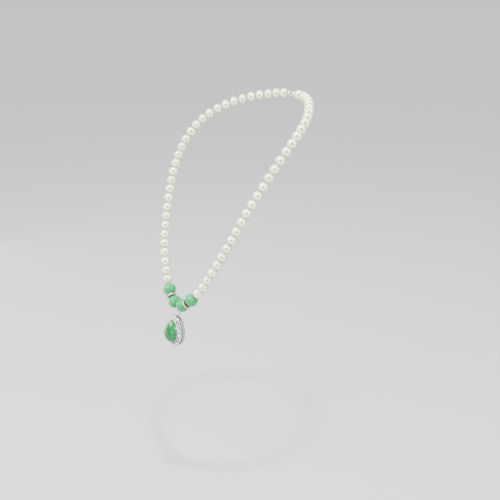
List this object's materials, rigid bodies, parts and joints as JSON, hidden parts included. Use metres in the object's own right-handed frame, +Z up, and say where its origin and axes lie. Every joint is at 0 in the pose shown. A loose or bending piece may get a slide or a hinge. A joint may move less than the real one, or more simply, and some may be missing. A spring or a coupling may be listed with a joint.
{
  "type": "pendant necklace",
  "caption": "Bead necklace worn round the neck: a pearl strand with green stone beads and a pear-shaped green stone pendant in a crystal halo.",
  "frame": {"origin": "middle of the neck opening at shoulder height, on the middle plane", "axes": "+X towards the wearer's left, -Y towards the front, +Z up"},
  "size_m": [0.1346, 0.1411, 0.2039],
  "materials": {
    "pearl": "ivory-white nacre with a soft sheen",
    "jade": "polished translucent green",
    "crystal": "clear cut crystal, backed with silver",
    "silver": "bright rhodium-like plate",
    "rose_gold": "bright rose-gold plate",
    "cord": "twisted ivory silk",
    "magnet": "nickel-plated disc magnet"
  },
  "bodies": {
    "collar": {"shoulder_pearls_left": "pearl", "shoulder_pearls_right": "pearl"},
    "upper_chest": {"cord_upper_left": "cord", "cord_upper_right": "cord", "pearl_left_10": "pearl", "pearl_left_11": "pearl", "pearl_left_12": "pearl", "pearl_left_13": "pearl", "pearl_left_14": "pearl", "pearl_left_15": "pearl", "pearl_left_16": "pearl", "pearl_left_17": "pearl", "pearl_right_10": "pearl", "pearl_right_11": "pearl", "pearl_right_12": "pearl", "pearl_right_13": "pearl", "pearl_right_14": "pearl", "pearl_right_15": "pearl", "pearl_right_16": "pearl", "pearl_right_17": "pearl"},
    "lower_chest": {"cord_lower_left": "cord", "cord_lower_right": "cord", "pearl_left_01": "pearl", "pearl_left_02": "pearl", "pearl_left_03": "pearl", "pearl_left_04": "pearl", "pearl_left_05": "pearl", "pearl_left_06": "pearl", "pearl_left_07": "pearl", "pearl_left_08": "pearl", "pearl_left_09": "pearl", "pearl_right_01": "pearl", "pearl_right_02": "pearl", "pearl_right_03": "pearl", "pearl_right_04": "pearl", "pearl_right_05": "pearl", "pearl_right_06": "pearl", "pearl_right_07": "pearl", "pearl_right_08": "pearl", "pearl_right_09": "pearl"},
    "centre": {"cord_centre": "cord"},
    "thread_ring": {"thread_ring": "silver"},
    "bail_ring": {"bail_ring": "silver"},
    "pendant": {"eyelet": "silver", "gallery": "silver", "setting": "silver", "halo_crystals": "crystal", "cabochon": "jade"},
    "nape_left": {"nape_pearls_left": "pearl", "clasp_barrel_left": "silver", "clasp_magnet_left": "magnet"},
    "jade_inner_left": {"jade_inner_left": "jade"},
    "jade_outer_left": {"jade_outer_left": "jade"},
    "rondelle_left": {"rondelle_left": "rose_gold"},
    "nape_right": {"nape_pearls_right": "pearl", "clasp_barrel_right": "silver", "clasp_magnet_right": "magnet"},
    "jade_inner_right": {"jade_inner_right": "jade"},
    "jade_outer_right": {"jade_outer_right": "jade"},
    "rondelle_right": {"rondelle_right": "rose_gold"}
  },
  "joints": [
    {"name": "upper_chest_lift", "type": "hinge", "parent": "collar", "child": "upper_chest", "pos_m": [0, -0.00236, -0.00229], "axis": [-1, 0, 0], "range_deg": [0, 30]},
    {"name": "lower_chest_lift", "type": "hinge", "parent": "upper_chest", "child": "lower_chest", "pos_m": [0, -0.03501, -0.05566], "axis": [-1, 0, 0], "range_deg": [0, 25]},
    {"name": "centre_lift", "type": "hinge", "parent": "lower_chest", "child": "centre", "pos_m": [0, -0.05679, -0.1176], "axis": [-1, 0, 0], "range_deg": [0, 25]},
    {"name": "thread_ring_swing", "type": "hinge", "parent": "centre", "child": "thread_ring", "pos_m": [0, -0.0603, -0.1316], "axis": [-1, 0, 0], "range_deg": [0, 45]},
    {"name": "bail_ring_sway", "type": "hinge", "parent": "thread_ring", "child": "bail_ring", "pos_m": [0, -0.05955, -0.13634], "axis": [0, 0.9877, 0.1564], "range_deg": [-30, 30]},
    {"name": "pendant_nod", "type": "hinge", "parent": "bail_ring", "child": "pendant", "pos_m": [0, -0.05921, -0.13851], "axis": [-1, 0, 0], "range_deg": [0, 30]},
    {"name": "nape_left_open", "type": "hinge", "parent": "collar", "child": "nape_left", "pos_m": [0.05819, 0.02239, 0.01775], "axis": [0, 0, -1], "range_deg": [0, 35]},
    {"name": "nape_right_open", "type": "hinge", "parent": "collar", "child": "nape_right", "pos_m": [-0.05819, 0.02239, 0.01775], "axis": [0, 0, 1], "range_deg": [0, 35]},
    {"name": "jade_inner_left_spin", "type": "hinge", "parent": "centre", "child": "jade_inner_left", "pos_m": [0.00544, -0.05988, -0.12865], "axis": [0.877, 0.0672, 0.4758], "continuous": true},
    {"name": "rondelle_left_spin", "type": "hinge", "parent": "centre", "child": "rondelle_left", "pos_m": [0.01101, -0.05931, -0.12548], "axis": [0.8072, 0.1842, 0.5608], "continuous": true},
    {"name": "jade_outer_left_spin", "type": "hinge", "parent": "centre", "child": "jade_outer_left", "pos_m": [0.01571, -0.05797, -0.12129], "axis": [0.7109, 0.2134, 0.6701], "continuous": true},
    {"name": "jade_inner_right_spin", "type": "hinge", "parent": "centre", "child": "jade_inner_right", "pos_m": [-0.00544, -0.05988, -0.12865], "axis": [-0.877, 0.0672, 0.4758], "continuous": true},
    {"name": "rondelle_right_spin", "type": "hinge", "parent": "centre", "child": "rondelle_right", "pos_m": [-0.01101, -0.05931, -0.12548], "axis": [-0.8072, 0.1842, 0.5608], "continuous": true},
    {"name": "jade_outer_right_spin", "type": "hinge", "parent": "centre", "child": "jade_outer_right", "pos_m": [-0.01571, -0.05797, -0.12129], "axis": [-0.7109, 0.2134, 0.6701], "continuous": true}
  ]
}
